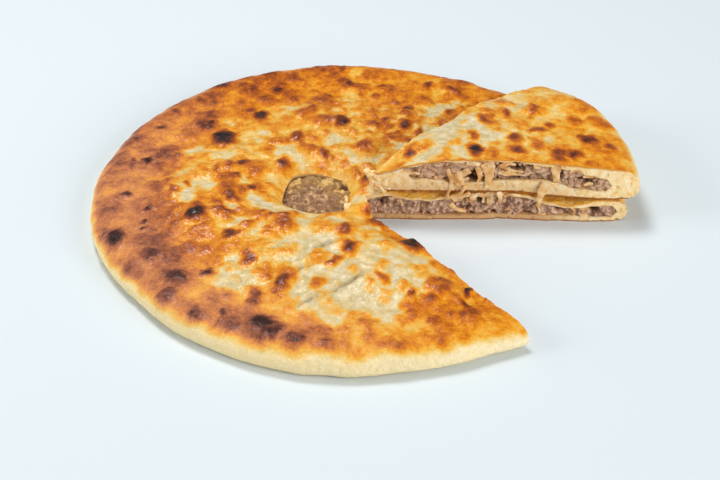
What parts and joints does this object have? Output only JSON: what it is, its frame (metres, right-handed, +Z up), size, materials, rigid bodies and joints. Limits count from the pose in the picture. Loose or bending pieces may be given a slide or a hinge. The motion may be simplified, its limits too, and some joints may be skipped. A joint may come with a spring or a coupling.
{
  "type": "ossetian pie",
  "caption": "Round flat bread filled with minced meat and onion, with a steam vent in its crust, cut open, the lifted slice lying on top beside the gap.",
  "frame": {"origin": "middle of the footprint, on the surface that the pie lies on", "axes": "+Z up through the crust, +X towards the rim at the far cut, where the lifted slice lies, +Y away from the viewer"},
  "size_m": [0.3306, 0.3216, 0.0444],
  "materials": {
    "dough": "baked crust, buttered, golden with brown blisters",
    "filling": "cooked minced meat with onion, moist"
  },
  "bodies": {
    "root": {"pie_dough": "dough", "pie_filling": "filling", "slice_dough": "dough", "slice_filling": "filling"}
  },
  "joints": []
}
